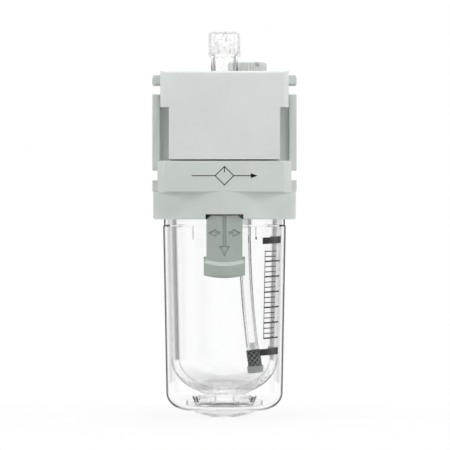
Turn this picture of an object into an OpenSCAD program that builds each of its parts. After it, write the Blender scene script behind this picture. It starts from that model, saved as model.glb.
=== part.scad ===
// Air line lubricator: a die-cast body with two pipe ports, a clear oil bowl in a clear guard,
// a sliding lock button, a sight dome that sets the drip rate and a fill plug.
// Millimetres. Z is up, the bowl axis is Z and the foot of the bowl is at z = 0.
// Air flows along +X. The lock button and the front cover face -Y.

/* [Ports and side faces] */
// Distance from port face to port face
body_width = 53; // [52.8:0.1:54]
// Height of the port axis above the foot
port_z = 105; // [104.8:0.1:105.2]
// Radius of the pipe thread's wall
port_r = 7.5; // [7:0.1:7.8]
// Depth of the pipe thread
port_depth = 12; // [10:0.5:12.5]
// Radius of the air passage between the ports
passage_r = 5.4; // [5.2:0.1:5.5]
// Depth of the side flanges from front to back
flange_depth = 30; // [28:0.5:32]
// Thickness of the side flanges
flange_thick = 2.2; // [2:0.1:2.4]
// Height of the side flanges
flange_height = 27.7; // [27:0.1:28]
// Height of the clamp grooves above and below the flanges
groove_height = 3.8; // [3.4:0.1:4]
// Half width between the bottoms of the upper clamp grooves
groove_half = 23.6; // [23.4:0.1:24]

/* [Body] */
// Radius of the ring that holds the bowl
ring_r = 26.4; // [26.2:0.1:26.8]
// Height of the ring's lower edge
ring_z0 = 73; // [72.8:0.1:73.2]
// Height of the ring's upper edge
ring_z1 = 83.3; // [83:0.1:83.6]
// Height of the lower plate's upper edge
block_z1 = 94.4; // [94:0.1:94.6]
// Half width of the lower plate's flat front
block_flat = 21.8; // [21:0.1:22.4]
// Half width of the lower plate over its corners
block_half = 24.5; // [24:0.1:24.8]
// Height of the body's top deck
deck_z = 125.9; // [125.6:0.1:126.2]
// Half width of the core behind the covers
core_half = 22.3; // [21.8:0.1:22.8]
// Half depth of the core behind the covers
core_depth = 20; // [19.5:0.1:20.4]
// Half depth of the recess floors beside the cover legs
recess_depth = 14; // [13.6:0.1:14.6]
// Half depth of the webs that carry the flanges
web_depth = 12.5; // [11.5:0.1:13.5]

/* [Covers] */
// Half width of the cover's upper part
cover_half = 23.5; // [23:0.1:23.7]
// Half width of the cover's leg
leg_half = 20.3; // [19.8:0.1:20.6]
// Height of the cover's lower edge
cover_z0 = 94.9; // [94.8:0.1:95.4]
// Height of the cover's shoulder
shoulder_z = 114; // [113:0.1:115]
// Height of the cover's upper edge
cover_z1 = 127.2; // [126.8:0.1:127.4]
// Corner radius of the cover's upright edges
cover_corner = 2.5; // [1.5:0.1:3]
// Radius along the cover's top edge
cover_edge = 1.2; // [0.8:0.1:1.4]
// Wall of the covers
cover_wall = 1.8; // [1.4:0.1:2.2]

/* [Bowl] */
// Outer radius under the rim
bowl_r1 = 21.2; // [21:0.05:21.25]
// Outer radius where the round bottom starts
bowl_r0 = 19.7; // [19.4:0.1:19.9]
// Inner radius at the mouth
bowl_in1 = 18.6; // [18.2:0.1:18.8]
// Inner radius where the round bottom starts
bowl_in0 = 17.1; // [16.8:0.1:17.4]
// Height at which the round bottom starts
bowl_z = 21.7; // [21.4:0.1:22]
// Depth of the round bottom outside
bowl_drop = 14.2; // [14:0.1:14.4]
// Depth of the round bottom inside
bowl_drop_in = 11.6; // [11.2:0.1:11.8]
// Radius of the boss under the bowl
boss_r = 9; // [8.6:0.1:9.1]
// Height of the boss above the foot
boss_z = 3.7; // [3.5:0.1:4]
// Radius of the foot
foot_r = 5.9; // [5.5:0.1:6]

/* [Bowl guard] */
// Outer radius below the collar
guard_r1 = 22.7; // [22.6:0.05:22.8]
// Outer radius at the bottom corner
guard_r0 = 21.5; // [21.4:0.05:21.7]
// Radius of the collar inside the ring
guard_collar_r = 22.4; // [22.3:0.05:22.5]
// Wall of the guard
guard_wall = 1.3; // [1.2:0.05:1.35]
// Height of the step under the collar
collar_z = 70.4; // [70:0.1:70.8]
// Height at which the bottom corner starts
corner_z = 8.9; // [8.8:0.1:9.2]
// Radius of the hole for the foot
guard_hole_r = 6.6; // [6.4:0.1:6.8]

/* [Lock button] */
// Half width of the button's plate
button_half = 6.6; // [6.4:0.05:6.65]
// Height of the button's top
button_z1 = 74.4; // [74.2:0.05:74.45]
// Radius of the button's face about the bowl axis
button_r = 25.2; // [25:0.1:25.4]
// Half width of the finger lip
lip_half = 7.55; // [7.2:0.05:7.8]
// Height of the lip's front at its middle
lip_height = 4.5; // [4.2:0.1:4.8]
// Lowest point of the lip
lip_z0 = 51.5; // [51.2:0.1:51.8]
// Radius of the lip's curved lower edge
lip_arc = 29; // [26:1:34]
// Height of the bevel along the lip's lower edge
lip_bevel = 1; // [0.6:0.1:1.2]
// Travel of the button when it is pulled down
button_travel = 4; // [3.5:0.1:4.2]

/* [Sight dome] */
// Radius of the fluted cap
dome_r = 5.9; // [5.7:0.1:6.2]
// Radius of the neck under the cap
dome_neck_r = 4.95; // [4.8:0.05:5.1]
// Height of the cap's lower edge
dome_cap_z = 133.1; // [132.6:0.1:133.6]
// Height of the dome's top
dome_top_z = 142.4; // [142:0.1:143]
// Number of flutes round the cap
dome_flutes = 12; // [8:1:16]
// Radius of the drip chamber
chamber_r = 3.7; // [3.4:0.1:3.8]

/* [Fill plug] */
// Sideways place of the plug
plug_x = 8.9; // [8.7:0.1:9]
// Place of the plug behind the bowl axis
plug_y = 11.6; // [11.5:0.1:11.8]
// Radius of the plug's head
plug_r = 6.8; // [6.5:0.1:6.9]
// Height of the head's underside
plug_z0 = 126; // [126:0.1:126.4]
// Height of the head's top
plug_z1 = 131.4; // [131:0.1:132]
// Number of teeth round the head
plug_teeth = 40; // [30:1:48]
// Width of the coin slot
slot_width = 1.4; // [1.2:0.1:1.8]
// Depth of the coin slot
slot_depth = 1.6; // [1.2:0.1:2]
// Turn of the coin slot away from the front
slot_angle = 29; // [0:1:60]
// Radius of the plug's screw
plug_screw_r = 3.95; // [3.8:0.05:3.95]

/* [Oil pick-up] */
// Distance of the tube from the bowl axis at its top
tube_x = 7.5; // [7.3:0.1:7.7]
// Outer radius of the tube
tube_r = 2.25; // [2.1:0.05:2.3]
// Inner radius of the tube
tube_bore = 1.35; // [1.2:0.05:1.5]
// Height at which the tube leaves its socket
tube_z1 = 70; // [69.8:0.1:71]
// Height of the tube's lower end
tube_z0 = 26; // [25.5:0.1:26.5]
// Lean of the tube at its lower end
tube_lean = 7.6; // [7:0.1:8]
// Radius of the strainer's screen
screen_r = 2.55; // [2.4:0.05:2.6]
// Radius of the strainer's end cap
strainer_cap_r = 3.05; // [2.9:0.05:3.1]
// Radius of the check ball
ball_r = 1.5; // [1.4:0.05:1.5]

/* [Hidden] */

$fn = 96;
// Overlap that keeps cuts clear of a face
eps = 0.1;
// Small chamfer on cast and moulded edges
edge = 0.5;

// Heights of the flange, the grooves and the lips
flange_z0 = port_z - flange_height / 2;
flange_z1 = port_z + flange_height / 2;
groove_z0 = flange_z0 - groove_height;
groove_z1 = flange_z1 + groove_height;
side_x = body_width / 2;
flange_x = side_x - flange_thick;

// Seat of the bowl inside the ring, from the lower edge up
seat_lip_r = 23.2;
seat_lip_z = ring_z0 + 1.9;
seat_groove_r = 24.6;
seat_groove_z = 78.1;
seat_rim_r = 23;
seat_rim_z = 80.1;
seat_neck_r = 20.8;
ceiling_z = 86.6;

// Lugs that lock the guard in the ring
lug_count = 4;
lug_angle = 22;
lug_r = 24.3;
lug_z0 = 75.1;
lug_z1 = 77.5;
entry_width = 10.5;

// Notch in the ring for the lock button
notch_half = button_half + 0.3;
notch_z = button_z1 + 0.4;
notch_y = 20;
button_corner = 1.45;

// Retainer of the damper
retainer_r = 8.75;
retainer_bore_r = 8.8;
retainer_z1 = 113.4;
retainer_bore_z = 113.6;
retainer_flange_r = 9.85;
retainer_flange_z = 82.4;
retainer_seat_r = 9.9;
retainer_seat_z = ceiling_z + 1.1;
seal_gap = 0.02;

// Oil way
riser_y = 7.1;
oil_r = 0.8;
oil_cross_z = 84.6;
socket_r = 2.9;
socket_depth = 4.5;
ball_chamber_r = ball_r + 0.35;
ball_seat_z = 78;
ball_lift = 1.2;
ball_gap = 0.03;
ball_z = ball_seat_z + sqrt(ball_r * ball_r - oil_r * oil_r) + ball_gap;

// Damper flap
flap_x = -3.2;
flap_r = 4.8;
flap_thick = 0.9;
flap_bead_r = 0.8;
flap_bead_gap = 0.06;
flap_bead_half = 2.4;
flap_axis_z = port_z + 5.3;

// Drip chamber
shank_r = 4.6;
shank_bore_r = 4.65;
shank_z = 121;
nozzle_plug_r = 3;
nozzle_plug_z = 116.5;
nozzle_r = 1.3;
nozzle_top_z = 137;
nozzle_bore = 0.6;
drain_r = 1.2;
drain_in_r = 2.6;
needle_r = 0.5;

// Bowl
sump_r = 8.9;
sump_ball_r = 11;
sump_flat_r = 4.3;
neck_r = 20.6;
neck_z1 = 85.9;
rim_r = 22.6;
rim_z0 = 78;
rim_z1 = 80;
bowl_seal_r = 0.73;
bowl_seal_z = 83.4;
seal_groove_half = 1;
seal_groove_r = 19.3;

// Guard
guard_z1 = rim_z0 - 0.05;
foot_collar_r0 = boss_r + 0.4;
foot_collar_base = 10.6;
foot_collar_r1 = 12;
foot_collar_z = 7.4;
floor_rib_r = 13.9;
floor_rib_z = 5.4;
rib_x = 11.6;

// Round corner and dished floor of the guard
corner_rx = 8.5;
corner_rz = 6.6;
corner_angle = 80;
dish_z = 0.4;

// Rails on the guard and the spring pocket of the button
rail_in = 3.6;
rail_base = 4.4;
rail_top = 5.1;
rail_r = 24.2;
rail_z0 = 58.2;
rail_z1 = 65.4;
rail_gap = 0.3;
button_back_r = 23.05;
pocket_r = 24.55;
pocket_z1 = rail_z1 + button_travel + 0.6;
ledge_height = 1;
spring_y = 23.62;
spring_r = 0.68;
spring_wire_r = 0.15;
spring_turns = 9;

// Points along an arc in the plane of a profile
function arc(c, rx, ry, a0, a1, n) =
    [for (i = [0:n]) [c[0] + rx * cos(a0 + (a1 - a0) * i / n), c[1] + ry * sin(a0 + (a1 - a0) * i / n)]];

// Block centred on the bowl axis
module slab(half_x, half_y, z0, z1) {
    translate([-half_x, -half_y, z0])
        cube([2 * half_x, 2 * half_y, z1 - z0]);
}

// Upright cylinder between two heights
module post(r, z0, z1) {
    translate([0, 0, z0])
        cylinder(r = r, h = z1 - z0);
}

// Cylinder along X between two places at the port axis
module line_bore(r, x0, x1) {
    translate([x0, 0, port_z])
        rotate([0, 90, 0])
            cylinder(r = r, h = x1 - x0);
}

// Seal ring about the Z axis
module seal(r, wire, z) {
    translate([0, 0, z])
        rotate_extrude()
            translate([r, 0])
                circle(r = wire, $fn = 48);
}

// Cylinder from one point to another
module rod(a, b, r) {
    d = b - a;
    length = norm(d);
    translate(a)
        rotate([0, acos(d[2] / length), atan2(d[1], d[0])])
            cylinder(r = r, h = length, $fn = 32);
}

// Lower plate: chamfered plan cut with eased upper and lower edges
module lower_plate() {
    chamfer = block_half - block_flat;
    intersection() {
        translate([0, 0, ring_z1 - edge])
            linear_extrude(height = block_z1 - ring_z1 + edge)
                polygon([
                    [block_flat, -ring_r], [block_half, chamfer - ring_r],
                    [block_half, ring_r - chamfer], [block_flat, ring_r],
                    [-block_flat, ring_r], [-block_half, ring_r - chamfer],
                    [-block_half, chamfer - ring_r], [-block_flat, -ring_r]]);
        rotate([90, 0, 90])
            linear_extrude(height = body_width, center = true)
                polygon([
                    [-ring_r, ring_z1], [edge - ring_r, ring_z1 - edge],
                    [ring_r - edge, ring_z1 - edge], [ring_r, ring_z1],
                    [ring_r, block_z1 - edge], [ring_r - edge, block_z1],
                    [edge - ring_r, block_z1], [-ring_r, block_z1 - edge]]);
    }
}

// Side flange with the lips above and below its clamp grooves
module side_profile() {
    rotate([90, 0, 0])
        linear_extrude(height = flange_depth, center = true)
            for (s = [-1, 1])
                scale([s, 1]) {
                    translate([flange_x - edge, flange_z0])
                        square([flange_thick + edge, flange_height]);
                    translate([core_half, ring_z1])
                        square([side_x - core_half, groove_z0 - ring_z1]);
                    polygon([
                        [core_half, groove_z1], [side_x, groove_z1],
                        [side_x, deck_z - 2 * edge], [side_x - edge, deck_z], [core_half, deck_z]]);
                }
}

// Bore that takes the bowl, with the bayonet groove and its entries
module bowl_seat() {
    post(seat_lip_r, ring_z0 - eps, seat_groove_z);
    post(seat_groove_r, seat_lip_z, seat_groove_z);
    post(seat_rim_r, ring_z0, seat_rim_z);
    post(seat_neck_r, ring_z0, ceiling_z);
    intersection() {
        post(seat_groove_r, ring_z0 - eps, seat_groove_z);
        union() {
            slab(seat_groove_r + eps, entry_width / 2, ring_z0 - eps, seat_groove_z);
            slab(entry_width / 2, seat_groove_r + eps, ring_z0 - eps, seat_groove_z);
        }
    }
}

// Notch in the ring's lower edge for the lock button
module button_notch() {
    translate([-notch_half, -notch_y - ring_r, ring_z0 - eps])
        cube([2 * notch_half, ring_r, notch_z - ring_z0 + eps]);
}

// Threaded ports, the air passage and the small ways for oil and bowl pressure
module air_ways() {
    mouth = 0.8;
    for (s = [0, 1])
        rotate([0, 0, 180 * s]) {
            line_bore(port_r, side_x - port_depth, side_x + eps);
            translate([side_x - mouth, 0, port_z])
                rotate([0, 90, 0])
                    cylinder(r1 = port_r, r2 = port_r + mouth, h = mouth);
        }
    line_bore(passage_r, -side_x + eps, side_x - eps);
    post(retainer_bore_r, ceiling_z - eps, retainer_bore_z);
    post(retainer_seat_r, ceiling_z - eps, retainer_seat_z);
    rod([-12, 0, ceiling_z - eps], [-12, 0, port_z], oil_r);
}

// Bores for the sight dome, the drip nozzle and the fill plug
module top_bores() {
    post(shank_bore_r, shank_z, deck_z + eps);
    post(nozzle_plug_r, nozzle_plug_z, shank_z + eps);
    post(drain_r, retainer_bore_z - eps, nozzle_plug_z + eps);
    rod([0, -riser_y, retainer_bore_z - eps], [0, -riser_y, nozzle_plug_z], oil_r);
    rod([0, -riser_y, nozzle_plug_z - oil_r / 2], [0, -nozzle_plug_r + oil_r, shank_z - 2], oil_r);
    translate([plug_x, plug_y, 0]) {
        post(plug_screw_r + 0.05, ceiling_z - eps, deck_z + eps);
        post(plug_screw_r + 2.35, deck_z - 1.75, deck_z + eps);
    }
}

// Pockets cast into the core behind the covers, and the holes for the cover pegs
module cover_pockets() {
    pocket_half = 15.5;
    translate([-pocket_half, -core_depth - eps, cover_z0 + 2])
        cube([2 * pocket_half, core_depth - web_depth + eps, shoulder_z - cover_z0]);
    translate([-pocket_half, plug_y + plug_screw_r + 1.2, cover_z0 + 2])
        cube([2 * pocket_half, core_depth, shoulder_z - cover_z0]);
    for (s = [-1, 1], t = [-1, 1], z = [peg_z0, peg_z1])
        translate([s * peg_x, t * (core_depth - peg_depth), z])
            rotate([-90 * t, 0, 0])
                cylinder(r = peg_r + 0.05, h = peg_depth + eps);
}

// Bottoms of the clamp grooves above the flanges
module upper_grooves() {
    for (s = [0, 1])
        rotate([0, 0, 180 * s])
            translate([groove_half, -flange_depth / 2, flange_z1])
                cube([side_x - groove_half, flange_depth, groove_height]);
}

// Cover pegs
peg_x = 17.9;
peg_z0 = 99;
peg_z1 = 120;
peg_r = 1.2;
peg_depth = 4;

module main_body() {
    color([0.72, 0.73, 0.72])
        difference() {
            union() {
                rotate_extrude()
                    polygon([
                        [0, ring_z0], [ring_r - edge, ring_z0], [ring_r, ring_z0 + edge],
                        [ring_r, ring_z1], [0, ring_z1]]);
                lower_plate();
                side_profile();
                slab(flange_x, web_depth, ring_z1, deck_z - edge);
                slab(core_half, recess_depth, block_z1 - edge, deck_z);
                slab(leg_half - edge, core_depth, block_z1 - edge, deck_z);
                slab(core_half, core_depth, shoulder_z + edge, deck_z);
            }
            bowl_seat();
            button_notch();
            air_ways();
            top_bores();
            cover_pockets();
            upper_grooves();
        }
}

// Front elevation of a cover, grown inwards by a wall
module cover_face(inset) {
    translate([-cover_half + inset, shoulder_z + inset])
        square([2 * (cover_half - inset), cover_z1 - shoulder_z - 2 * inset]);
    translate([-leg_half + inset, cover_z0 + inset])
        square([2 * (leg_half - inset), cover_z1 - cover_z0 - 2 * inset]);
}

// Upright block with rounded front corners and a rounded top edge
module cover_envelope() {
    depth = ring_r - core_depth;
    intersection() {
        translate([0, 0, cover_z0 - eps])
            linear_extrude(height = cover_z1 - cover_z0 + 2 * eps) {
                translate([cover_corner - cover_half, -ring_r])
                    square([2 * (cover_half - cover_corner), depth]);
                translate([-cover_half, cover_corner - ring_r])
                    square([2 * cover_half, depth - cover_corner]);
                for (s = [-1, 1])
                    translate([s * (cover_half - cover_corner), cover_corner - ring_r])
                        circle(r = cover_corner);
            }
        rotate([90, 0, 90])
            linear_extrude(height = 2 * cover_half + eps, center = true) {
                translate([cover_edge - ring_r, cover_z0 - eps])
                    square([depth - cover_edge, cover_z1 - cover_z0 + eps]);
                translate([-ring_r, cover_z0 - eps])
                    square([depth, cover_z1 - cover_z0 + eps - cover_edge]);
                translate([cover_edge - ring_r, cover_z1 - cover_edge])
                    circle(r = cover_edge);
            }
    }
}

// Cover shell with four pegs
module cover() {
    difference() {
        intersection() {
            cover_envelope();
            rotate([90, 0, 0])
                linear_extrude(height = ring_r + eps)
                    cover_face(0);
        }
        translate([0, cover_wall - ring_r, 0])
            rotate([-90, 0, 0])
                scale([1, -1, 1])
                    linear_extrude(height = ring_r)
                        cover_face(cover_wall);
    }
    for (s = [-1, 1], z = [peg_z0, peg_z1])
        translate([s * peg_x, cover_wall - ring_r - eps, z])
            rotate([-90, 0, 0])
                cylinder(r = peg_r, h = ring_r - core_depth - cover_wall + peg_depth);
}

module front_cover() {
    color([0.84, 0.86, 0.87])
        cover();
}

module rear_cover() {
    color([0.84, 0.86, 0.87])
        rotate([0, 0, 180])
            cover();
}

// Insert with the air throat, the groove for the damper's bead, the oil riser and the ball chamber
module damper_retainer() {
    color([0.9, 0.9, 0.87])
        difference() {
            union() {
                post(retainer_r, retainer_flange_z, retainer_z1);
                post(retainer_flange_r, retainer_flange_z, ceiling_z - 0.05);
                translate([tube_x, 0, 0])
                    post(socket_r, tube_z1, retainer_flange_z + eps);
            }
            line_bore(passage_r, -side_x, side_x);
            post(drain_r, port_z, retainer_z1 + eps);
            translate([flap_x, 0, flap_axis_z])
                rotate([90, 0, 0])
                    cylinder(r = flap_bead_r + flap_bead_gap, h = 2 * flap_bead_half + 0.4, center = true);
            rod([0, -riser_y, oil_cross_z], [0, -riser_y, retainer_z1 + eps], oil_r);
            rod([tube_x, 0, oil_cross_z], [0, -riser_y, oil_cross_z], oil_r);
            translate([tube_x, 0, 0]) {
                post(tube_r + 0.02, tube_z1 - eps, tube_z1 + socket_depth);
                post(oil_r, tube_z1, oil_cross_z);
                post(ball_chamber_r, ball_seat_z, ball_z + ball_r + ball_lift + 0.3);
            }
        }
}

module retainer_o_ring() {
    color([0.1, 0.1, 0.1])
        seal((retainer_seat_r + retainer_bore_r) / 2, (retainer_seat_r - retainer_r) / 2 - 0.1,
            (ceiling_z + retainer_seat_z) / 2);
}

// Moulded flap that hangs from a bead and swings with the air
module damper_flap() {
    color([0.2, 0.22, 0.24])
        translate([flap_x, 0, 0]) {
            translate([0, 0, port_z])
                rotate([0, 90, 0])
                    cylinder(r = flap_r, h = flap_thick, center = true);
            translate([0, 0, flap_axis_z])
                rotate([90, 0, 0])
                    cylinder(r = flap_bead_r, h = 2 * flap_bead_half, center = true, $fn = 48);
        }
}

module check_ball() {
    color([0.75, 0.76, 0.78])
        translate([tube_x, 0, ball_z])
            sphere(r = ball_r);
}

// Bend of the tube, and the place and lean of its lower end
tube_bend_r = (tube_z1 - tube_z0) / sin(tube_lean);
tube_end_x = tube_x + tube_bend_r * (1 - cos(tube_lean));

// Frame of the tube's lower end, with -Z along the tube
module at_tube_end() {
    translate([tube_end_x, 0, tube_z0])
        rotate([0, -tube_lean, 0])
            children();
}

// Bent length of the tube as a part of a ring about a far axis, and the straight end in its socket
module oil_tube() {
    color([0.86, 0.88, 0.88]) {
        translate([tube_x + tube_bend_r, 0, tube_z1])
            rotate([90, 0, 0])
                rotate([0, 0, 180])
                    rotate_extrude(angle = tube_lean)
                        translate([tube_bend_r, 0])
                            tube_section();
        translate([tube_x, 0, tube_z1])
            linear_extrude(height = socket_depth - 0.1)
                tube_section();
    }
}

module tube_section() {
    difference() {
        circle(r = tube_r, $fn = 48);
        circle(r = tube_bore, $fn = 48);
    }
}

// Lengths along the strainer, from the tube's end down
collar_length = 1.2;
screen_length = 6.2;
cap_length = 2.6;
nipple_r = tube_bore - 0.01;
nipple_length = 1.5;

module strainer_collar() {
    color([0.8, 0.82, 0.82])
        at_tube_end()
            difference() {
                union() {
                    post(tube_r + 0.1, -collar_length, -0.02);
                    post(nipple_r, -collar_length, nipple_length);
                }
                post(oil_r, -collar_length - eps, nipple_length + eps);
            }
}

module strainer_screen() {
    color([0.35, 0.36, 0.36])
        at_tube_end()
            difference() {
                post(screen_r, -collar_length - screen_length, -collar_length - 0.02);
                post(screen_r - 0.6, -collar_length - screen_length - eps, -collar_length - 0.6);
                post(oil_r, -collar_length - 1, -collar_length + eps);
            }
}

module strainer_cap() {
    top = -collar_length - screen_length;
    color([0.55, 0.56, 0.56])
        at_tube_end()
            difference() {
                post(strainer_cap_r, top - cap_length, top - 0.02);
                post(screen_r - 0.6, top - cap_length + 1, top + eps);
            }
}

// Profile of the bowl: neck with seal groove, rim, tapered wall and round bottom with a sump
module bowl_profile() {
    boss_a = acos(boss_r / bowl_r0);
    sump_a = acos(sump_r / bowl_in0);
    sump_a0 = acos(sump_r / sump_ball_r);
    sump_a1 = acos(sump_flat_r / sump_ball_r);
    sump_c = bowl_z - bowl_drop_in * sin(sump_a) + sump_ball_r * sin(sump_a0);
    polygon(concat(
        [[0, boss_z], [boss_r, boss_z]],
        arc([0, bowl_z], bowl_r0, bowl_drop, -boss_a, 0, 20),
        [[bowl_r1, rim_z0], [rim_r, rim_z0], [rim_r, rim_z1], [neck_r, rim_z1],
            [neck_r, bowl_seal_z - seal_groove_half], [seal_groove_r, bowl_seal_z - seal_groove_half],
            [seal_groove_r, bowl_seal_z + seal_groove_half], [neck_r, bowl_seal_z + seal_groove_half],
            [neck_r, neck_z1 - edge], [neck_r - edge, neck_z1], [bowl_in1, neck_z1]],
        arc([0, bowl_z], bowl_in0, bowl_drop_in, 0, -sump_a, 18),
        arc([0, sump_c], sump_ball_r, sump_ball_r, -sump_a0 - 4, -sump_a1, 6),
        [[0, sump_c - sump_ball_r * sin(sump_a1)]]));
}

module bowl() {
    color([0.85, 0.9, 0.92, 0.4])
        difference() {
            union() {
                rotate_extrude()
                    bowl_profile();
                rotate_extrude()
                    polygon([
                        [0, 0], [foot_r - edge, 0], [foot_r, edge], [foot_r, boss_z + eps], [0, boss_z + eps]]);
            }
            post(foot_r - 2.2, -eps, boss_z + 2);
        }
}

module bowl_o_ring() {
    color([0.1, 0.1, 0.1])
        seal(seal_groove_r + bowl_seal_r + seal_gap, bowl_seal_r, bowl_seal_z);
}

// Profile of the guard: collar, tapered wall, round corner and dished floor
module guard_profile() {
    in1 = guard_r1 - guard_wall;
    corner_x = guard_r0 - corner_rx;
    floor_z = corner_z - corner_rz * sin(corner_angle) + guard_wall;
    fall = (floor_z - guard_wall - dish_z) / (corner_x - guard_hole_r);
    polygon(concat(
        [[guard_hole_r, dish_z]],
        arc([corner_x, corner_z], corner_rx, corner_rz, -corner_angle, 0, 14),
        [[guard_r1, collar_z], [guard_collar_r, collar_z + edge],
            [guard_collar_r, guard_z1], [bowl_r1 + 0.3, guard_z1],
            [in1 + 0.1, collar_z]],
        arc([corner_x, corner_z], corner_rx - guard_wall, corner_rz - guard_wall, 0, -corner_angle, 14),
        [[floor_rib_r + 0.3, floor_z], [floor_rib_r + 0.3, floor_rib_z],
            [floor_rib_r - 0.3, floor_rib_z], [floor_rib_r - 0.3, floor_z],
            [foot_collar_base, floor_z - fall * (floor_rib_r - foot_collar_base)],
            [foot_collar_r1, foot_collar_z], [foot_collar_r0 + 1, foot_collar_z],
            [foot_collar_r0, floor_z - fall * (floor_rib_r - foot_collar_r0)],
            [guard_hole_r, dish_z + guard_wall]]));
}

// Dovetail rails that guide the lock button, with the ledge for its spring
module guard_rails() {
    root = guard_r1 - 0.9;
    difference() {
        translate([0, 0, rail_z0])
            linear_extrude(height = rail_z1 - rail_z0)
                for (s = [-1, 1])
                    polygon([
                        [s * rail_in, -root], [s * rail_base, -root],
                        [s * rail_top, -rail_r], [s * rail_in, -rail_r]]);
        difference() {
            post(2 * rail_r, rail_z0 - eps, rail_z1 + eps);
            post(rail_r, rail_z0 - 2 * eps, rail_z1 + 2 * eps);
        }
    }
    intersection() {
        translate([-rail_in - eps, -rail_r, rail_z0])
            cube([2 * (rail_in + eps), rail_r - root, ledge_height]);
        post(rail_r, rail_z0 - eps, rail_z1);
    }
}

module bowl_guard() {
    castle_width = 2.2;
    castle_z = foot_collar_z - 2.6;
    castle_count = 8;
    rib_height = 4.8;
    rib_half = 0.3;
    rib_y = sqrt(guard_r1 * guard_r1 - rib_x * rib_x);
    color([0.88, 0.92, 0.94, 0.35])
        difference() {
            union() {
                rotate_extrude()
                    guard_profile();
                for (i = [0:lug_count - 1])
                    rotate([0, 0, (i + 0.5) * 360 / lug_count - lug_angle / 2])
                        rotate_extrude(angle = lug_angle)
                            translate([guard_collar_r - edge, lug_z0])
                                square([lug_r - guard_collar_r + edge, lug_z1 - lug_z0]);
                guard_rails();
                for (s = [-1, 1])
                    translate([s * rib_x - rib_half, -rib_y - rib_half, collar_z - rib_height])
                        cube([2 * rib_half, 1, rib_height]);
            }
            for (i = [0:castle_count / 2 - 1])
                rotate([0, 0, (i + 0.5) * 360 / castle_count])
                    slab(foot_collar_r1 + eps, castle_width / 2, castle_z, foot_collar_z + eps);
        }
}

// Curved band of the button between two radii
module button_band(r0, r1, half, z0, z1) {
    intersection() {
        difference() {
            post(r1, z0, z1);
            post(r0, z0 - eps, z1 + eps);
        }
        translate([-half, -2 * r1, z0 - eps])
            cube([2 * half, 2 * r1, z1 - z0 + 2 * eps]);
    }
}

// Finger lip: sloped shoulder above, lower edge on an arc with a bevel
module button_lip() {
    shoulder = ring_r - button_back_r;
    top = lip_z0 + lip_height;
    intersection() {
        button_band(button_back_r, ring_r, lip_half, lip_z0 - eps, top + shoulder);
        translate([0, 0, lip_z0 + lip_arc])
            rotate([90, 0, 0])
                cylinder(r = lip_arc, h = 2 * ring_r, $fn = 180);
        rotate([90, 0, 90])
            linear_extrude(height = 4 * lip_half, center = true)
                polygon([
                    [-ring_r - eps, lip_z0 - 1], [-ring_r - eps, top - eps],
                    [-button_back_r + shoulder, top + 2 * shoulder], [-button_back_r + shoulder, lip_z0 - 1]]);
        rotate_extrude()
            polygon([
                [0, lip_z0 - eps], [ring_r - lip_bevel, lip_z0 - eps], [ring_r - lip_bevel, lip_z0],
                [ring_r, lip_z0 + lip_bevel], [ring_r, top + 2 * shoulder], [0, top + 2 * shoulder]]);
    }
}

module lock_button() {
    taper = button_z1 - ring_z0;
    color([0.62, 0.65, 0.62])
        difference() {
            union() {
                intersection() {
                    button_band(button_back_r, button_r, button_half, lip_z0 + lip_height - 1, button_z1);
                    rotate([90, 0, 0])
                        linear_extrude(height = 2 * ring_r)
                            polygon([
                                [-button_half, lip_z0], [button_half, lip_z0],
                                [button_half, button_z1 - taper], [button_half - button_corner, button_z1],
                                [button_corner - button_half, button_z1], [-button_half, button_z1 - taper]]);
                }
                button_lip();
            }
            intersection() {
                translate([0, 0, lip_z0 - 1])
                    linear_extrude(height = pocket_z1 - lip_z0 + 1)
                        polygon([
                            [-rail_base - rail_gap, 1 - button_back_r],
                            [rail_base + rail_gap, 1 - button_back_r],
                            [rail_top + rail_gap, -pocket_r], [-rail_top - rail_gap, -pocket_r]]);
                post(pocket_r, lip_z0 - 1, pocket_z1);
            }
        }
}

// Coil spring swept along a helix
module lock_spring() {
    sides = 6;
    steps = 12 * spring_turns;
    z0 = rail_z0 + ledge_height + spring_wire_r;
    z1 = pocket_z1 - spring_wire_r;
    points = [for (i = [0:steps], j = [0:sides - 1])
        let (a = 360 * spring_turns * i / steps, r = spring_r + spring_wire_r * cos(360 * j / sides))
        [r * cos(a), r * sin(a) - spring_y, z0 + (z1 - z0) * i / steps + spring_wire_r * sin(360 * j / sides)]];
    walls = [for (i = [0:steps - 1], j = [0:sides - 1], t = [0, 1])
        let (k = (j + 1) % sides, p = i * sides, q = (i + 1) * sides)
        t == 0 ? [q + k, p + k, p + j] : [q + j, q + k, p + j]];
    ends = [[for (j = [0:sides - 1]) j], [for (j = [0:sides - 1]) steps * sides + sides - 1 - j]];
    color([0.7, 0.72, 0.75])
        polyhedron(points = points, faces = concat(walls, ends));
}

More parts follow.
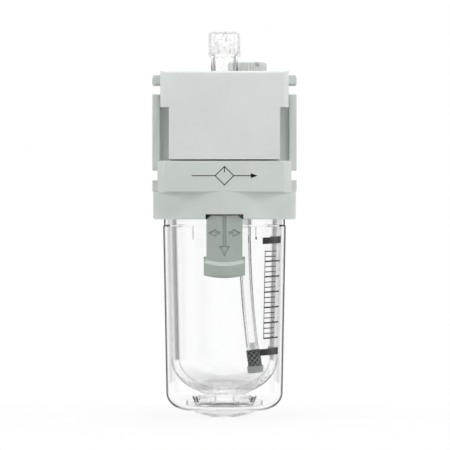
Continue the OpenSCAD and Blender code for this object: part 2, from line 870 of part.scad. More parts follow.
// Clear dome: fluted cap over a drip chamber, with a shank in the body
module sight_dome() {
    flute_r = 0.9;
    cap_edge = 0.8;
    color([0.88, 0.92, 0.94, 0.35])
        difference() {
            rotate_extrude()
                polygon([
                    [drain_in_r, shank_z + 0.1], [shank_r, shank_z + 0.1],
                    [shank_r, dome_seal_z - dome_seal_half], [dome_seal_r, dome_seal_z - dome_seal_half],
                    [dome_seal_r, dome_seal_z + dome_seal_half], [shank_r, dome_seal_z + dome_seal_half],
                    [shank_r, deck_z + 0.1], [dome_neck_r, deck_z + 0.4],
                    [dome_neck_r, dome_cap_z - edge], [dome_r, dome_cap_z],
                    [dome_r, dome_top_z - cap_edge], [dome_r - cap_edge, dome_top_z], [needle_r, dome_top_z],
                    [needle_r, dome_top_z - 2.6],
                    [chamber_r - 1, dome_top_z - 2.6], [chamber_r, dome_top_z - 3.6],
                    [chamber_r, deck_z + 0.8], [drain_in_r, deck_z - 0.2]]);
            for (i = [0:dome_flutes - 1])
                rotate([0, 0, (i + 0.5) * 360 / dome_flutes])
                    translate([dome_r + flute_r / 2, 0, 0])
                        post(flute_r, dome_cap_z + 1, dome_top_z + eps);
        }
}

// Seal groove on the dome's shank
dome_seal_z = 123.2;
dome_seal_half = 0.7;
dome_seal_r = 3.6;
dome_seal_wire = 0.5;

module dome_o_ring() {
    color([0.1, 0.1, 0.1])
        seal(dome_seal_r + dome_seal_wire + seal_gap, dome_seal_wire, dome_seal_z);
}

// Needle that goes down into the nozzle's top
module drip_needle() {
    tip_z = nozzle_top_z - 2;
    color([0.9, 0.9, 0.88])
        rotate_extrude()
            polygon([
                [0, tip_z], [needle_r / 3, tip_z], [needle_r - 0.02, nozzle_top_z],
                [needle_r - 0.02, dome_top_z], [0, dome_top_z]]);
}

// Standpipe that the oil drips from, with drain holes in its base
module drip_nozzle() {
    color([0.9, 0.9, 0.88])
        difference() {
            union() {
                post(nozzle_plug_r - 0.02, nozzle_plug_z + 0.05, shank_z);
                post(nozzle_r, shank_z - eps, nozzle_top_z);
            }
            post(nozzle_bore, nozzle_plug_z + 2, nozzle_top_z + eps);
            rod([0, 0, shank_z - 2], [0, -nozzle_plug_r - eps, shank_z - 2], nozzle_bore);
            for (s = [-1, 1])
                translate([s * 2, 0, 0])
                    post(nozzle_bore, nozzle_plug_z, shank_z + eps);
        }
}

// Toothed outline of the plug's head
module plug_outline() {
    tooth = 0.22;
    polygon([for (i = [0:2 * plug_teeth - 1])
        let (r = i % 2 == 0 ? plug_r : plug_r - tooth * 2)
        r * [cos(180 * i / plug_teeth), sin(180 * i / plug_teeth)]]);
}

module fill_plug() {
    color([0.6, 0.61, 0.61])
        translate([plug_x, plug_y, 0])
            difference() {
                union() {
                    translate([0, 0, plug_z0])
                        linear_extrude(height = plug_z1 - plug_z0 - edge)
                            plug_outline();
                    rotate_extrude()
                        polygon([
                            [0, plug_z1 - 2 * edge], [plug_r - edge, plug_z1 - 2 * edge],
                            [plug_r - edge, plug_z1 - edge / 2], [plug_r - edge * 1.5, plug_z1], [0, plug_z1]]);
                    post(plug_screw_r, plug_z0 - plug_screw_length, plug_z0 + eps);
                }
                rotate([0, 0, slot_angle])
                    slab(slot_width / 2, 2 * plug_r, plug_z1 - slot_depth, plug_z1 + eps);
            }
}

// Length of the plug's screw and the seal under its head
plug_screw_length = 6.4;
plug_seal_wire = 0.8;

module plug_o_ring() {
    color([0.1, 0.1, 0.1])
        translate([plug_x, plug_y, 0])
            seal(plug_screw_r + plug_seal_wire + 0.3, plug_seal_wire, deck_z - 0.85);
}

main_body();
front_cover();
rear_cover();
damper_retainer();
retainer_o_ring();
damper_flap();
check_ball();
oil_tube();
strainer_collar();
strainer_screen();
strainer_cap();
bowl();
bowl_o_ring();
bowl_guard();
lock_button();
lock_spring();
sight_dome();
dome_o_ring();
drip_needle();
drip_nozzle();
fill_plug();
plug_o_ring();
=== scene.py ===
"""Looks of the air line lubricator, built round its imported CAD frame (metres, Z up, front at -Y)."""
import math

import bmesh
import bpy
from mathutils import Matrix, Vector
from mathutils.geometry import tessellate_polygon


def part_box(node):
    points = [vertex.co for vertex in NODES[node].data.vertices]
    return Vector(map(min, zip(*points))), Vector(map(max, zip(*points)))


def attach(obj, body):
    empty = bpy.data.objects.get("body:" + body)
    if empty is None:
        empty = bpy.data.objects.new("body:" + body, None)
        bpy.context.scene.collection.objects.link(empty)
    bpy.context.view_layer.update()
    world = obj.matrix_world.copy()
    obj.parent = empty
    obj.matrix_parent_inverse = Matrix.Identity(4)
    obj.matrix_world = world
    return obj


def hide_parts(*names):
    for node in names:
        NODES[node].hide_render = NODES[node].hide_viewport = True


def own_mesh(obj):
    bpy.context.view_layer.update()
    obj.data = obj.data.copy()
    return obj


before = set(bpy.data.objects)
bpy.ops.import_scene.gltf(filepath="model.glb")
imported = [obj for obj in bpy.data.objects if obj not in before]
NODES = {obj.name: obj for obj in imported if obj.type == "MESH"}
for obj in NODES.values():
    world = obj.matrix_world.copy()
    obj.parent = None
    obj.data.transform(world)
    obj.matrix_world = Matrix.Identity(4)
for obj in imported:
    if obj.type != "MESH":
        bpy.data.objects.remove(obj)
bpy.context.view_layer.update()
MM = 0.001


# ---- Node helpers ----

def srgb(level):
    """Linear value of an 8-bit display level."""
    c = level / 255
    return c / 12.92 if c <= 0.04045 else ((c + 0.055) / 1.055) ** 2.4


def tone(r, g, b):
    """Linear colour of 8-bit display levels."""
    return (srgb(r), srgb(g), srgb(b), 1)


def grey(v):
    return (v, v, v, 1)


def scaled(color, factor):
    """A colour made darker or lighter, at most white."""
    return [min(1, c * factor) for c in color[:3]] + [1]


def new_material(name):
    """A node material and its main shader, with object coordinates ready to use."""
    m = bpy.data.materials.new(name)
    m.use_nodes = True
    nodes = m.node_tree.nodes
    shader = nodes["Principled BSDF"]
    coords = nodes.new("ShaderNodeTexCoord")
    return m, m.node_tree, shader, coords.outputs["Object"]


def feed(tree, value, socket):
    """Links a socket to another one, or sets it to a fixed value."""
    if isinstance(value, bpy.types.NodeSocket):
        tree.links.new(value, socket)
    else:
        socket.default_value = value


def show(tree, shader):
    """Makes a shader the surface of its material."""
    tree.links.new(shader.outputs[0], tree.nodes["Material Output"].inputs["Surface"])


def noise(tree, coords, scale, detail=3):
    """Noise with features of 1/scale metres."""
    n = tree.nodes.new("ShaderNodeTexNoise")
    n.inputs["Scale"].default_value = scale
    n.inputs["Detail"].default_value = detail
    tree.links.new(coords, n.inputs["Vector"])
    return n.outputs["Fac"]


def ramp(tree, fac, low, high, start=0.35, end=0.65):
    """Goes from one colour to another as fac goes from start to end."""
    r = tree.nodes.new("ShaderNodeValToRGB")
    r.color_ramp.elements[0].position, r.color_ramp.elements[0].color = start, low
    r.color_ramp.elements[1].position, r.color_ramp.elements[1].color = end, high
    tree.links.new(fac, r.inputs["Fac"])
    return r.outputs["Color"]


def math_node(tree, operation, a, b=0):
    """Result of a sum on sockets or numbers."""
    n = tree.nodes.new("ShaderNodeMath")
    n.operation = operation
    feed(tree, a, n.inputs[0])
    feed(tree, b, n.inputs[1])
    return n.outputs[0]


def separate(tree, vector):
    """X, Y and Z of a vector socket."""
    n = tree.nodes.new("ShaderNodeSeparateXYZ")
    tree.links.new(vector, n.inputs[0])
    return n.outputs


def dot(tree, a, b):
    """Sum of the products of two pairs of sockets."""
    products = [math_node(tree, "MULTIPLY", u, v) for u, v in zip(a, b)]
    return math_node(tree, "ADD", *products)


def mix_shaders(tree, share, first, second):
    """The first shader at a share of 0, the second at 1."""
    mix = tree.nodes.new("ShaderNodeMixShader")
    for source, socket in zip((share, first.outputs[0], second.outputs[0]), mix.inputs):
        tree.links.new(source, socket)
    return mix


def mix_colors(tree, share, first, second):
    """The first colour at a share of 0, the second at 1."""
    mix = tree.nodes.new("ShaderNodeMixRGB")
    tree.links.new(share, mix.inputs["Fac"])
    feed(tree, first, mix.inputs["Color1"])
    feed(tree, second, mix.inputs["Color2"])
    return mix.outputs[0]


# ---- Materials ----

def satin(name, color, rough, grain=9000, depth=0.02, vary=0.03, metallic=0.0, gloss=0.5):
    """A moulded or painted surface: fine grain in bump and gloss, soft clouds in tone. depth is in millimetres."""
    cloud_scale, gloss_vary, bump_strength = 60, 0.04, 0.25
    m, tree, shader, coords = new_material(name)
    clouds = noise(tree, coords, cloud_scale)
    fine = noise(tree, coords, grain, 2)
    feed(tree, ramp(tree, clouds, scaled(color, 1 - vary), scaled(color, 1 + vary)), shader.inputs["Base Color"])
    feed(tree, ramp(tree, fine, grey(rough - gloss_vary), grey(rough + gloss_vary)), shader.inputs["Roughness"])
    shader.inputs["Metallic"].default_value = metallic
    shader.inputs["Specular IOR Level"].default_value = gloss
    bump = tree.nodes.new("ShaderNodeBump")
    bump.inputs["Strength"].default_value = bump_strength
    bump.inputs["Distance"].default_value = depth * MM
    tree.links.new(fine, bump.inputs["Height"])
    tree.links.new(bump.outputs["Normal"], shader.inputs["Normal"])
    return m


def outer_skin(tree, coords):
    """1 on the walls that face away from the Z axis, 0 on those that face it."""
    geometry = tree.nodes.new("ShaderNodeNewGeometry")
    away = dot(tree, separate(tree, geometry.outputs["Normal"])[:2], separate(tree, coords)[:2])
    shown_side = math_node(tree, "SUBTRACT", 0.5, geometry.outputs["Backfacing"])
    return math_node(tree, "GREATER_THAN", math_node(tree, "MULTIPLY", away, shown_side))


def by_height(start, end, low, high):
    """A share that goes from low to high between two heights in millimetres."""
    return lambda tree, coords: ramp(tree, separate(tree, coords)[2], grey(low), grey(high), start * MM, end * MM)


def bowl_painted_line_mask(tree, coords):
    """Where the bowl shows its painted dark line: the inner wall, and both sides of its round bottom down to the sump.
    """
    inside = math_node(tree, "SUBTRACT", 1, outer_skin(tree, coords))
    bottom = by_height(21, 22, 1, 0)(tree, coords)
    over_sump = by_height(9, 11, 0, 1)(tree, coords)
    return math_node(tree, "MULTIPLY", math_node(tree, "MAXIMUM", inside, bottom), over_sump)


def clear(name, ior, line, start, end, rough=0.01, straight=None, where=None):
    """Polished clear plastic with faint flow marks.

    An upright wall shows a painted dark line where it is seen along its length: a dark diffuse shader that stands in
    for the shade its refraction shows. line is its strength, and it comes in between the Layer Weight values start
    and end. straight gives the share of light that isn't bent, and where the part of the piece that has the painted
    line. The lamps' light passes through, so that what is inside is lit.
    """
    flow_scale, reflection, lamp_share = 120, 0.2, 0.93
    faint_tint, painted_line_color = (0.994, 0.996, 0.997, 1), (0.05, 0.06, 0.06, 1)
    upright_until, level_from = 0.8, 0.96
    m, tree, shader, coords = new_material(name)
    flow = noise(tree, coords, flow_scale)
    feed(tree, ramp(tree, flow, faint_tint, grey(1)), shader.inputs["Base Color"])
    feed(tree, ramp(tree, flow, grey(rough), grey(rough * 2)), shader.inputs["Roughness"])
    shader.inputs["IOR"].default_value = ior
    shader.inputs["Transmission Weight"].default_value = 1
    shader.inputs["Specular Tint"].default_value = grey(reflection)
    body = shader
    if straight:
        body = mix_shaders(tree, straight(tree, coords), shader, tree.nodes.new("ShaderNodeBsdfTransparent"))

    weight = tree.nodes.new("ShaderNodeLayerWeight")
    weight.inputs["Blend"].default_value = 0.5
    along = ramp(tree, weight.outputs["Facing"], grey(0), grey(line), start, end)
    normal = separate(tree, tree.nodes.new("ShaderNodeNewGeometry").outputs["Normal"])
    tilt = math_node(tree, "ABSOLUTE", normal[2])
    drawn = math_node(tree, "MULTIPLY", along, ramp(tree, tilt, grey(1), grey(0), upright_until, level_from))
    if where:
        drawn = math_node(tree, "MULTIPLY", drawn, where(tree, coords))
    # Painted shade: a dark diffuse shader mixed in along the walls, in place of the dark lines that refraction shows.
    dark = tree.nodes.new("ShaderNodeBsdfDiffuse")
    dark.inputs["Color"].default_value = painted_line_color
    with_painted_line = mix_shaders(tree, drawn, body, dark)

    lamp_light = tree.nodes.new("ShaderNodeBsdfTransparent")
    lamp_light.inputs["Color"].default_value = grey(lamp_share)
    shadow_ray = tree.nodes.new("ShaderNodeLightPath").outputs["Is Shadow Ray"]
    show(tree, mix_shaders(tree, shadow_ray, with_painted_line, lamp_light))
    return m


def milky(name, color, see_through, rough=0.3):
    """Natural resin: much of the light goes straight through, the rest shows a soft pale body."""
    flow_scale, darkest, vary = 150, 0.95, 0.04
    m, tree, shader, coords = new_material(name)
    flow = noise(tree, coords, flow_scale)
    feed(tree, ramp(tree, flow, scaled(color, darkest), color), shader.inputs["Base Color"])
    shader.inputs["Roughness"].default_value = rough
    share = ramp(tree, flow, grey(see_through - vary), grey(see_through + vary))
    show(tree, mix_shaders(tree, share, shader, tree.nodes.new("ShaderNodeBsdfTransparent")))
    return m


def painted_shade_inside(material, shade_tone, seat_r=0.025, seat_z=0.0868, bore_r=0.0082, bore_z=0.105):
    """Paints shade into the bowl seat and the ports of the casting: a darker tone there stands in for the shade inside
    them. Sizes are in metres.
    """
    tree = material.node_tree
    shader = tree.nodes["Principled BSDF"]
    paint = shader.inputs["Base Color"].links[0].from_socket
    coords = next(n for n in tree.nodes if n.type == "TEX_COORD")
    x, y, z = separate(tree, coords.outputs["Object"])

    def within(u, v, radius):
        return math_node(tree, "LESS_THAN", dot(tree, (u, v), (u, v)), radius * radius)

    seat = math_node(tree, "MULTIPLY", within(x, y, seat_r), math_node(tree, "LESS_THAN", z, seat_z))
    bore = within(y, math_node(tree, "SUBTRACT", z, bore_z), bore_r)
    # painted shade: the darker tone wherever the point lies in the seat or a bore
    shaded = mix_colors(tree, math_node(tree, "MAXIMUM", seat, bore), paint, shade_tone)
    tree.links.new(shaded, shader.inputs["Base Color"])


POLYCARBONATE_IOR, TUBE_IOR = 1.56, 1.42

CAST = satin("cast_paint", tone(198, 204, 200), 0.42, grain=7000, depth=0.03, gloss=0.25)
# Painted shade: a darker tone inside the bowl seat and the ports of the casting.
painted_shade_inside(CAST, tone(140, 143, 142))
COVER = satin("cover_plastic", tone(213, 218, 217), 0.38, grain=12000, depth=0.015)
BUTTON = satin("button_plastic", tone(147, 157, 150), 0.2, grain=12000, depth=0.008, gloss=1)
# Painted shade: a darker tone for the sloped sides of the arrows cut into the lock button.
PAINTED_GROOVE_SHADE = satin("button_groove_painted_shade", tone(120, 128, 122), 0.5, grain=12000, depth=0.015)
PLUG = satin("plug_plastic", tone(198, 202, 200), 0.4, grain=12000, depth=0.015)
RUBBER = satin("seal_rubber", tone(38, 38, 39), 0.6, vary=0.15)
STEEL = satin("bright_steel", tone(190, 192, 196), 0.25, metallic=1, grain=4000, depth=0.004)
SCREEN = satin("screen_core", tone(8, 8, 8), 0.7, grain=6000, depth=0.01, vary=0.12)
WIRE = satin("screen_wire", tone(150, 156, 153), 0.5, grain=6000, depth=0.01, vary=0.12)
CAP = satin("strainer_cap", tone(132, 138, 135), 0.5, grain=6000, depth=0.02, vary=0.08)
INK = satin("print_ink", tone(20, 21, 22), 0.7, vary=0.1, gloss=0.1)
NATURAL = milky("natural_resin", tone(236, 238, 234), 0.88)
COLLAR = milky("collar_resin", tone(150, 156, 154), 0.8)
# line sets the strength of each clear part's painted dark line along its walls.
GUARD = clear("guard_polycarbonate", POLYCARBONATE_IOR, line=0.9, start=0.72, end=0.81, where=outer_skin)
BOWL = clear("bowl_polycarbonate", POLYCARBONATE_IOR, line=0.55, start=0.72, end=0.86,
             straight=by_height(13.5, 16, 0.45, 0), where=bowl_painted_line_mask)
DOME = clear("dome_polycarbonate", POLYCARBONATE_IOR, line=0.85, start=0.48, end=0.6,
             straight=by_height(132.9, 133.1, 0, 0.6), where=by_height(131.9, 132.1, 1, 0))
TUBE = clear("clear_tube", TUBE_IOR, line=0.8, start=0.45, end=0.8, rough=0.02)

MATERIAL_OF = {
    "main_body": CAST, "front_cover": COVER, "rear_cover": COVER, "damper_retainer": NATURAL,
    "retainer_o_ring": RUBBER, "damper_flap": RUBBER, "check_ball": STEEL, "oil_tube": TUBE,
    "strainer_collar": COLLAR, "strainer_screen": SCREEN, "strainer_cap": CAP, "bowl": BOWL,
    "bowl_o_ring": RUBBER, "bowl_guard": GUARD, "lock_button": BUTTON, "lock_spring": STEEL,
    "sight_dome": DOME, "dome_o_ring": RUBBER, "drip_needle": NATURAL, "drip_nozzle": NATURAL,
    "fill_plug": PLUG, "plug_o_ring": RUBBER,
}


# ---- Shading and soft edges of the CAD nodes ----

def weld_group(name, smooth_angle=None):
    """Geometry nodes that join the split vertices of a CAD mesh.

    With an angle in degrees, they also shade it smooth across all edges below that angle.
    """
    weld_distance = 2e-6
    g = bpy.data.node_groups.new(name, "GeometryNodeTree")
    g.interface.new_socket("Geometry", in_out="INPUT", socket_type="NodeSocketGeometry")
    g.interface.new_socket("Geometry", in_out="OUTPUT", socket_type="NodeSocketGeometry")
    start, end = g.nodes.new("NodeGroupInput"), g.nodes.new("NodeGroupOutput")
    drop = g.nodes.new("GeometryNodeRemoveAttribute")
    drop.inputs["Name"].default_value = "custom_normal"
    merge = g.nodes.new("GeometryNodeMergeByDistance")
    merge.inputs["Distance"].default_value = weld_distance
    g.links.new(start.outputs[0], drop.inputs["Geometry"])
    g.links.new(drop.outputs["Geometry"], merge.inputs["Geometry"])
    last = merge
    if smooth_angle is not None:
        faces = g.nodes.new("GeometryNodeSetShadeSmooth")
        faces.domain = "FACE"
        edges = g.nodes.new("GeometryNodeSetShadeSmooth")
        edges.domain = "EDGE"
        edges.inputs["Shade Smooth"].default_value = False
        angle = g.nodes.new("GeometryNodeInputMeshEdgeAngle")
        compare = g.nodes.new("FunctionNodeCompare")
        compare.operation = "GREATER_THAN"
        compare.inputs["B"].default_value = math.radians(smooth_angle)
        g.links.new(angle.outputs["Unsigned Angle"], compare.inputs["A"])
        g.links.new(compare.outputs["Result"], edges.inputs["Selection"])
        g.links.new(merge.outputs["Geometry"], faces.inputs["Geometry"])
        g.links.new(faces.outputs["Geometry"], edges.inputs["Geometry"])
        last = edges
    g.links.new(last.outputs["Geometry"], end.inputs[0])
    return g


WELD = weld_group("weld")
SMOOTH_ROUNDED = weld_group("weld_smooth_rounded", 32)
SMOOTH_CURVES = weld_group("weld_smooth_curves", 12)


def shade(obj, group=SMOOTH_CURVES):
    obj.modifiers.new("smooth", "NODES").node_group = group


def soften(obj, width_mm, segments=3):
    """Rounds the sharp edges of a CAD node by a small radius."""
    flat_angle, sharp_angle = 0.5, 38
    obj.modifiers.new("weld", "NODES").node_group = WELD
    flat = obj.modifiers.new("flat", "DECIMATE")
    flat.decimate_type = "DISSOLVE"
    flat.angle_limit = math.radians(flat_angle)
    round_ = obj.modifiers.new("edges", "BEVEL")
    round_.width = width_mm * MM
    round_.segments = segments
    round_.limit_method = "ANGLE"
    round_.angle_limit = math.radians(sharp_angle)
    round_.use_clamp_overlap = True
    shade(obj, SMOOTH_ROUNDED)


SOFT_EDGE_MM = {"main_body": 0.3, "front_cover": 0.35, "rear_cover": 0.35, "lock_button": 0.3, "fill_plug": 0.1}

for node_name, node in NODES.items():
    node.data.materials.clear()
    node.data.materials.append(MATERIAL_OF[node_name])
    if node_name in SOFT_EDGE_MM:
        soften(node, SOFT_EDGE_MM[node_name])
    else:
        shade(node)


# ---- New pieces, drawn in millimetres ----

def add_mesh(name, verts, faces, material, body, smooth=False):
    """A new piece that rides on a body, from points in millimetres."""
    mesh = bpy.data.meshes.new(name)
    mesh.from_pydata([Vector(v) * MM for v in verts], [], faces)
    mesh.materials.append(material)
    if smooth:
        mesh.shade_smooth()
    obj = bpy.data.objects.new(name, mesh)
    bpy.context.collection.objects.link(obj)
    bm = bmesh.new()
    bm.from_mesh(mesh)
    bmesh.ops.recalc_face_normals(bm, faces=bm.faces)
    bm.to_mesh(mesh)
    bm.free()
    if body:
        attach(obj, body)
    return obj


def sheets(name, shapes, inner, outer, material, body):
    """Closed thin pieces between two surfaces: each shape is a list of (u, v) columns, bottom and top, along u."""
    verts, faces = [], []
    for columns in shapes:
        first = len(verts)
        for low, high in columns:
            verts += [inner(*low), inner(*high), outer(*low), outer(*high)]
        n = len(columns)
        for i in range(n - 1):
            p, q = first + 4 * i, first + 4 * (i + 1)
            faces += [(p, q, q + 1, p + 1), (p + 2, p + 3, q + 3, q + 2)]
            faces += [(p, p + 2, q + 2, q), (p + 1, q + 1, q + 3, p + 3)]
        last = first + 4 * (n - 1)
        faces += [(first, first + 1, first + 3, first + 2), (last, last + 2, last + 3, last + 1)]
    add_mesh(name, verts, faces, material, body)


def bar(u0, u1, v0, v1, steps=1, slope=0.0):
    """Columns of a straight bar from u0 to u1, which rises by slope along u."""
    us = [u0 + (u1 - u0) * i / steps for i in range(steps + 1)]
    return [((u, v0 + slope * (u - u0)), (u, v1 + slope * (u - u0))) for u in us]


def tapered(u0, u1, v0, half0, half1):
    """Columns of a wedge on the line v0, from half width half0 at u0 to half1 at u1."""
    return [((u0, v0 - half0), (u0, v0 + half0)), ((u1, v0 - half1), (u1, v0 + half1))]


def on_bowl(lift, low_z=21.7, low_r=19.7, high_z=78.0, high_r=21.2):
    """Places (degrees from the front, height) on the bowl's outer cone, or a lift outside it."""
    def place(degrees, z):
        share = (z - low_z) / (high_z - low_z)
        r = low_r + share * (high_r - low_r) + lift
        a = math.radians(degrees)
        return (r * math.sin(a), -r * math.cos(a), z)
    return place


def level_scale(start=41, end=104, tilt=0.011, ticks=18, first_tick=29, span=32):
    """Print on the side of the bowl: two dark bars, and a ladder of ticks between them."""
    low_bar, high_bar, bar_steps = (22.9, 25.3), (63.9, 66.3), 24
    rail_start, rail_end, tick_steps = start + 3.2, start + 4, 12
    long_end, long_height = start + 34, 0.55
    short_end, short_height = start + 22, 0.35
    ink_low, ink_high = 0.004, 0.03
    shapes = [bar(start - 1, end, *low_bar, bar_steps, tilt), bar(start, end, *high_bar, bar_steps, tilt)]
    for i in range(ticks):
        z = first_tick + span * i / (ticks - 1)
        tick_end, height = (long_end, long_height) if i % 3 == 0 else (short_end, short_height)
        shapes.append(bar(rail_end, tick_end, z, z + height, tick_steps, tilt))
    shapes.append(bar(rail_start, rail_end, first_tick, first_tick + span + long_height))
    sheets("level_scale", shapes, on_bowl(ink_low), on_bowl(ink_high), INK, "body")


def plate_symbol(face_y=-26.4, z=88.9, line=12.0, diamond=3.4, width=0.32):
    """Symbol of a lubricator on the lower plate: a diamond in the line of flow, with a flow arrow."""
    def depth(lift):
        return lambda x, v: (x, face_y - lift, z + v)

    head_length, head_half, head_overlap, tip_half = 2.4, 0.9, 0.4, 0.04
    stroke_share = 0.35
    ink_low, ink_high = -0.01, 0.025
    half, corner = width / 2, width * math.sqrt(2) / 2
    near, far = diamond - corner, diamond + corner
    left, right = ((-near, 0), (-far, 0)), ((near, 0), (far, 0))
    shapes = [bar(-line, -diamond, -half, half), bar(diamond, line - head_length + head_overlap, -half, half)]
    for s in (-1, 1):
        tip = ((0, s * near), (0, s * far))
        shapes += [[left, tip], [tip, right]]
    shapes.append(bar(-half, half, diamond * stroke_share, diamond))
    shapes.append(tapered(line - head_length, line, 0, head_half, tip_half))
    sheets("plate_symbol", shapes, depth(ink_low), depth(ink_high), INK, "body")


def outset(points, d):
    """Counter-clockwise polygon moved outwards by d, with sharp corners."""
    moved = []
    n = len(points)
    for i in range(n):
        p, q, r = (Vector(points[(i + k) % n]) for k in (-1, 0, 1))
        e0, e1 = (q - p).normalized(), (r - q).normalized()
        n0, n1 = Vector((e0.y, -e0.x)), Vector((e1.y, -e1.x))
        moved.append(q + (n0 + n1) * (d / (1 + n0.dot(n1))))
    return [(v.x, v.y) for v in moved]


def button_arrows(face_r=25.2, cut=0.36, above=0.3, draft=0.26, side_z=68.0):
    """Three arrows cut into the lock button's round face, with painted shade on their sloped sides: a darker tone
    there.
    """
    side = [(1.5, -0.5), (3.0, -0.5), (3.0, -1.5), (6.0, 0), (3.0, 1.5), (3.0, 0.5), (1.5, 0.5)]
    down = [(0.66, 63.1), (0.66, 75.5), (-0.66, 75.5), (-0.66, 63.1), (-2.0, 63.1), (0, 59.3), (2.0, 63.1)]
    shapes = [[(x, side_z + z) for x, z in side], [(-x, side_z + z) for x, z in reversed(side)], down]
    verts, faces = [], []
    for shape in shapes:
        first, n = len(verts), len(shape)
        deep, high = outset(shape, -draft), outset(shape, draft * above / cut)
        verts += [(x, -math.sqrt((face_r - cut) ** 2 - x * x), z) for x, z in deep]
        verts += [(x, -math.sqrt((face_r + above) ** 2 - x * x), z) for x, z in high]
        for triangle in tessellate_polygon([[Vector((x, z, 0)) for x, z in shape]]):
            faces += [tuple(first + k for k in triangle), tuple(first + n + k for k in triangle)]
        faces += [(first + i, first + (i + 1) % n, first + n + (i + 1) % n, first + n + i) for i in range(n)]
    cutter = add_mesh("button_arrow_cutter", verts, faces, BUTTON, None)
    # The sloped sides of the cut take the painted shade tone.
    cutter.data.materials.append(PAINTED_GROOVE_SHADE)
    for face in cutter.data.polygons:
        is_side = len(face.vertices) == 4
        face.material_index = 1 if is_side else 0
    cutter.hide_render = True
    cutter.hide_viewport = True
    carve = NODES["lock_button"].modifiers.new("arrows", "BOOLEAN")
    carve.object = cutter
    carve.operation = "DIFFERENCE"
    carve.solver = "EXACT"
    carve.material_mode = "TRANSFER"


def round_section(radius, facets=6):
    """Section of a round wire, as a list of (dr, dz)."""
    angles = [2 * math.pi * j / facets for j in range(facets)]
    return [(radius * math.cos(a), radius * math.sin(a)) for a in angles]


def coil(radius, along, turns, steps, section, hand=1, phase=0.0):
    """Vertices and faces of a section swept along a helix about the Z axis. section is a list of (dr, dz)."""
    verts, faces = [], []
    k = len(section)
    for i in range(steps + 1):
        share = i / steps
        a = phase + hand * 2 * math.pi * turns * share
        for dr, dz in section:
            r = radius + dr
            verts.append((r * math.cos(a), r * math.sin(a), along * share + dz))
    for i in range(steps):
        for j in range(k):
            p, q = i * k + j, i * k + (j + 1) % k
            faces.append((p, q, q + k, p + k))
    faces += [tuple(range(k)), tuple(range(steps * k, steps * k + k))]
    return verts, faces


def port_threads(wall_r=7.5, axis_z=105.0, pitch=1.337, length=10.4, mouth_x=25.6, set_back=0.5, steps_per_turn=56):
    """Thread in both ports, as a ridge that stands in from the wall."""
    ridge = [(0.08, -0.5), (-0.42, -0.1), (-0.42, 0.1), (0.08, 0.5)]
    turns = length / pitch
    verts, faces = coil(wall_r, length, turns, int(turns * steps_per_turn), ridge)
    for side, name in ((1, "outlet_thread"), (-1, "inlet_thread")):
        placed = [(side * (mouth_x - length - set_back + z), y, axis_z + side * x) for x, y, z in verts]
        add_mesh(name, placed, faces, CAST, "body")


def strainer_weave(wires=8, radius=2.5, wire=0.13, top=(10.42, 0.0, 26.0), lean=7.6, start=1.25, length=6.1, steps=20):
    """Two families of wires that cross over the strainer's screen, from start below top along the leaning axis."""
    turns = length / (2 * math.pi * radius)
    verts, faces = [], []
    for hand in (1, -1):
        for i in range(wires):
            v, f = coil(radius, length, turns, steps, round_section(wire), hand, 2 * math.pi * i / wires)
            faces += [tuple(k + len(verts) for k in face) for face in f]
            verts += v
    c, s = math.cos(math.radians(lean)), math.sin(math.radians(lean))
    placed = []
    for x, y, z in verts:
        down = -start - z
        placed.append((top[0] + x * c - down * s, y, top[2] + x * s + down * c))
    add_mesh("strainer_weave", placed, faces, WIRE, "body", smooth=True)


def spring_coil(wire=0.15, turns=9, steps_per_turn=12):
    """The spring behind the lock button: a coil of round wire that takes the place of the CAD spring, which is hidden.
    """
    low, high = (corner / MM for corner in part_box("lock_spring"))
    middle = (low + high) / 2
    radius = (high.x - low.x) / 2 - wire
    length = high.z - low.z - 2 * wire
    verts, faces = coil(radius, length, turns, steps_per_turn * turns, round_section(wire))
    placed = [(middle.x + x, middle.y + y, low.z + wire + z) for x, y, z in verts]
    spring = add_mesh("spring_coil", placed, faces, STEEL, "body", smooth=True)
    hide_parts("lock_spring")
    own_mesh(spring)


level_scale()
plate_symbol()
button_arrows()
port_threads()
strainer_weave()
spring_coil()


# ---- Studio ----

def area(name, place, aim_z, size, power, shine=True):
    """Soft lamp, aimed at the Z axis, that clear walls don't show. Without shine it is left out of reflections too."""
    light = bpy.data.lights.new(name, "AREA")
    light.shape, light.size, light.energy = "SQUARE", size, power
    lamp = bpy.data.objects.new(name, light)
    lamp.location = place
    lamp.rotation_euler = (Vector((0, 0, aim_z)) - Vector(place)).to_track_quat("-Z", "Y").to_euler()
    lamp.visible_transmission = False
    lamp.visible_glossy = shine
    bpy.context.collection.objects.link(lamp)


def seen_rays(tree):
    """Two shares: 1 for the rays that show the backdrop (camera, glossy and transmission), and 1 for camera rays."""
    rays = tree.nodes.new("ShaderNodeLightPath").outputs
    seen = math_node(tree, "MAXIMUM", rays["Is Camera Ray"], rays["Is Glossy Ray"])
    return math_node(tree, "MAXIMUM", seen, rays["Is Transmission Ray"]), rays["Is Camera Ray"]


def background(tree, strength):
    shader = tree.nodes.new("ShaderNodeBackground")
    shader.inputs["Strength"].default_value = strength
    return shader


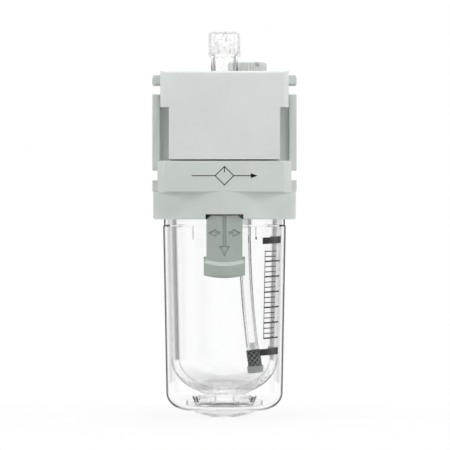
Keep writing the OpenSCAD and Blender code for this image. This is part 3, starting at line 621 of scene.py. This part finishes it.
def make_world(light_level=0.25, backdrop=1.0, panel_grey=0.25):
    """White backdrop with a level row of grey panels, half way to the sides, that only clear and glossy parts show."""
    inner_edge, outer_edge, level_edge, beyond = (0.56, 0.68), (0.8, 0.94), (0.05, 0.11), 0.15
    world = bpy.data.worlds.new("studio")
    bpy.context.scene.world = world
    world.use_nodes = True
    tree = world.node_tree
    tree.nodes.clear()
    out = tree.nodes.new("ShaderNodeOutputWorld")
    coords = tree.nodes.new("ShaderNodeTexCoord")
    x, _, z = separate(tree, coords.outputs["Generated"])
    aside, height = math_node(tree, "ABSOLUTE", x), math_node(tree, "ABSOLUTE", z)
    inner = ramp(tree, aside, grey(0), grey(1), *inner_edge)
    outer = ramp(tree, aside, grey(1), grey(beyond), *outer_edge)
    level = ramp(tree, height, grey(1), grey(0), *level_edge)
    strip = math_node(tree, "MULTIPLY", math_node(tree, "MULTIPLY", inner, outer), level)
    panels = mix_colors(tree, strip, grey(1), grey(panel_grey))
    seen, camera_ray = seen_rays(tree)
    lit, shown = background(tree, light_level), background(tree, backdrop)
    tree.links.new(mix_colors(tree, camera_ray, panels, grey(1)), shown.inputs["Color"])
    tree.links.new(mix_shaders(tree, seen, lit, shown).outputs[0], out.inputs["Surface"])


def make_floor(radius=0.27, segments=96, drop=0.0002, paper_grey=0.85, paper_rough=0.9, glow_share=0.8):
    """Pale round floor at the foot, which keeps the object's shadow and fades into the white backdrop."""
    fade_start, fade_end = 0.05, 0.24
    bm = bmesh.new()
    bmesh.ops.create_circle(bm, cap_ends=True, segments=segments, radius=radius)
    mesh = bpy.data.meshes.new("floor")
    bm.to_mesh(mesh)
    bm.free()
    floor = bpy.data.objects.new("floor", mesh)
    bpy.context.collection.objects.link(floor)
    floor.location.z = -drop
    m, tree, paper, coords = new_material("floor_white")
    paper.inputs["Base Color"].default_value = grey(paper_grey)
    paper.inputs["Roughness"].default_value = paper_rough
    away = tree.nodes.new("ShaderNodeVectorMath")
    away.operation = "LENGTH"
    tree.links.new(coords, away.inputs[0])
    fade = ramp(tree, away.outputs["Value"], grey(glow_share), grey(1), fade_start, fade_end)
    seen, _ = seen_rays(tree)
    glow = tree.nodes.new("ShaderNodeEmission")
    show(tree, mix_shaders(tree, math_node(tree, "MULTIPLY", seen, fade), paper, glow))
    mesh.materials.append(m)


make_world()
make_floor()
area("top_front", (0, -0.75, 1.15), aim_z=0.1, size=0.7, power=7.7)
area("overhead", (0, 0, 1.2), aim_z=0.1, size=0.5, power=2.5)
area("top_back", (0.1, 0.8, 0.9), aim_z=0.1, size=0.8, power=4.5)
area("left", (-1.5, -0.4, 0.3), aim_z=0.09, size=0.6, power=10.6, shine=False)
area("right", (1.5, -0.4, 0.3), aim_z=0.09, size=0.6, power=12, shine=False)
area("key", (0.3, -1.9, 0.25), aim_z=0.09, size=0.3, power=3.6, shine=False)
area("back", (-0.3, 1.9, 0.25), aim_z=0.09, size=0.3, power=4.2, shine=False)


# ---- Camera at the photo's angle: level, from the front and far away ----

CAMERA_DISTANCE = 2.0
FRAME_WIDTH = 0.1665
FRAME_CENTRE_X, FRAME_CENTRE_Z = 0.0002, 0.0709
camera_data = bpy.data.cameras.new("camera")
camera_data.lens = camera_data.sensor_width * CAMERA_DISTANCE / FRAME_WIDTH
camera_data.clip_end = 20
camera = bpy.data.objects.new("camera", camera_data)
camera.location = (FRAME_CENTRE_X, -CAMERA_DISTANCE, FRAME_CENTRE_Z)
camera.rotation_euler = (math.pi / 2, 0, 0)
bpy.context.collection.objects.link(camera)
bpy.context.scene.camera = camera
bpy.context.scene.view_settings.view_transform = "Standard"
